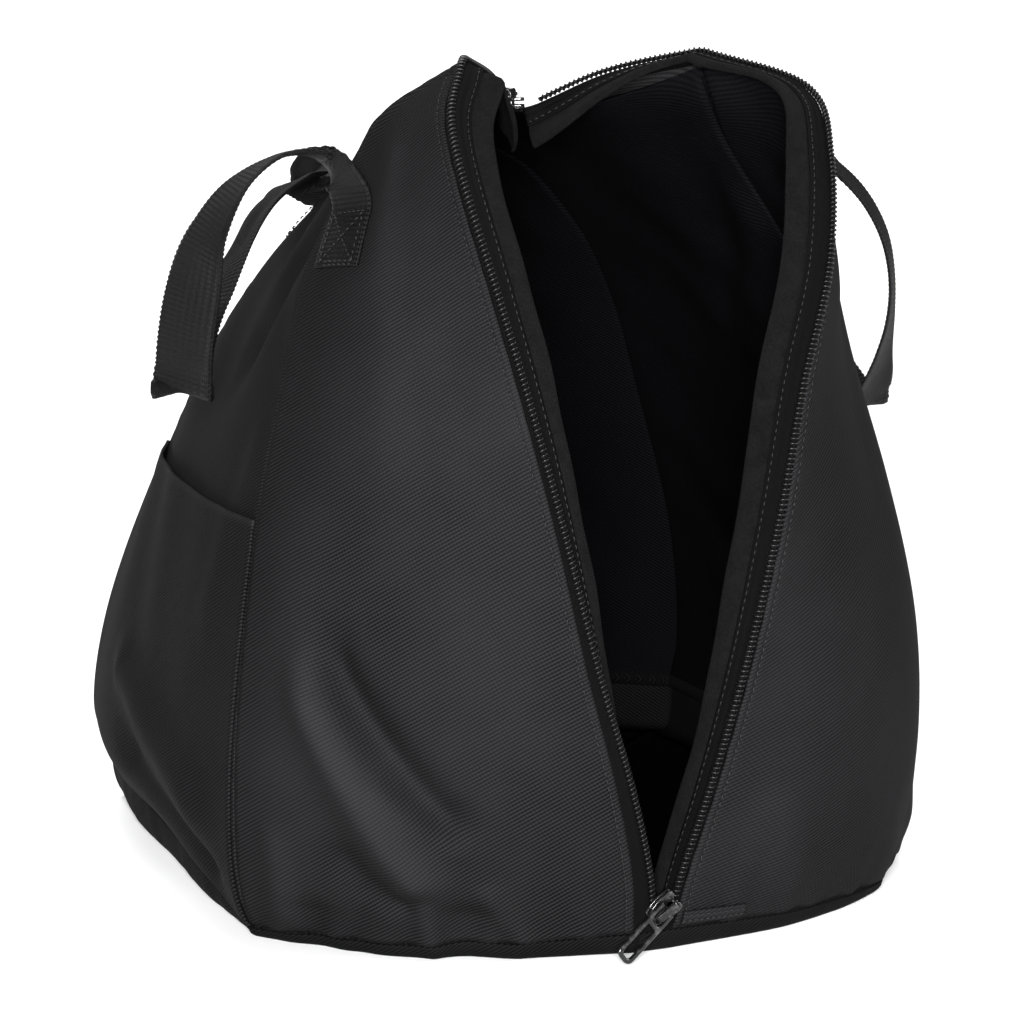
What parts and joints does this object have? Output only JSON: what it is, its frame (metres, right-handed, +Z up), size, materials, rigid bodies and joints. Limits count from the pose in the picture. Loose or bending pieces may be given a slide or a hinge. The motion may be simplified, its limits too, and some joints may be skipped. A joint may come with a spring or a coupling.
{
  "type": "motorcycle helmet bag",
  "caption": "Soft black polyester bag for a motorcycle helmet, standing open, with a long zip over its top, a padded base, a side pocket and webbing handles.",
  "frame": {"origin": "middle of the base, on the surface that the bag stands on", "axes": "+Z up, -Y out of the open front, -X towards the pocket"},
  "size_m": [0.3286, 0.3474, 0.3439],
  "materials": {
    "twill": "matt black polyester twill",
    "lining": "matt black polyester lining",
    "fleece": "short brushed black fleece",
    "zip_tape": "black herringbone tape",
    "webbing": "ribbed black webbing",
    "zip_coil": "satin black nylon coil",
    "zip_metal": "glossy black enamel on die-cast metal"
  },
  "bodies": {
    "bag": {"base_panel": "twill", "base_lining": "lining", "left_front_panel": "twill", "left_side_panel": "twill", "left_rear_panel": "twill", "left_lining": "lining", "left_zip_tape": "zip_tape", "left_zip_guard": "fleece", "left_zip_coil": "zip_coil", "left_handle": "webbing", "right_front_panel": "twill", "right_side_panel": "twill", "right_rear_panel": "twill", "right_lining": "lining", "right_zip_tape": "zip_tape", "right_zip_guard": "fleece", "right_zip_coil": "zip_coil", "right_handle": "webbing", "left_pocket": "twill", "rear_zip": "zip_tape", "zip_end_tab": "twill", "bottom_slider": "zip_metal", "top_slider": "zip_metal"},
    "bottom_pull": {"bottom_pull": "zip_metal"},
    "top_pull": {"top_pull": "zip_metal"}
  },
  "joints": [
    {"name": "bottom_pull_hinge", "type": "hinge", "parent": "bag", "child": "bottom_pull", "pos_m": [-0.0003, -0.17181, 0.02074], "axis": [-0.5878, 0, 0.809], "range_deg": [0, 110]},
    {"name": "top_pull_hinge", "type": "hinge", "parent": "bag", "child": "top_pull", "pos_m": [0, -0.00731, 0.31661], "axis": [0.9997, 0.023, -0.0029], "range_deg": [0, 120]}
  ]
}
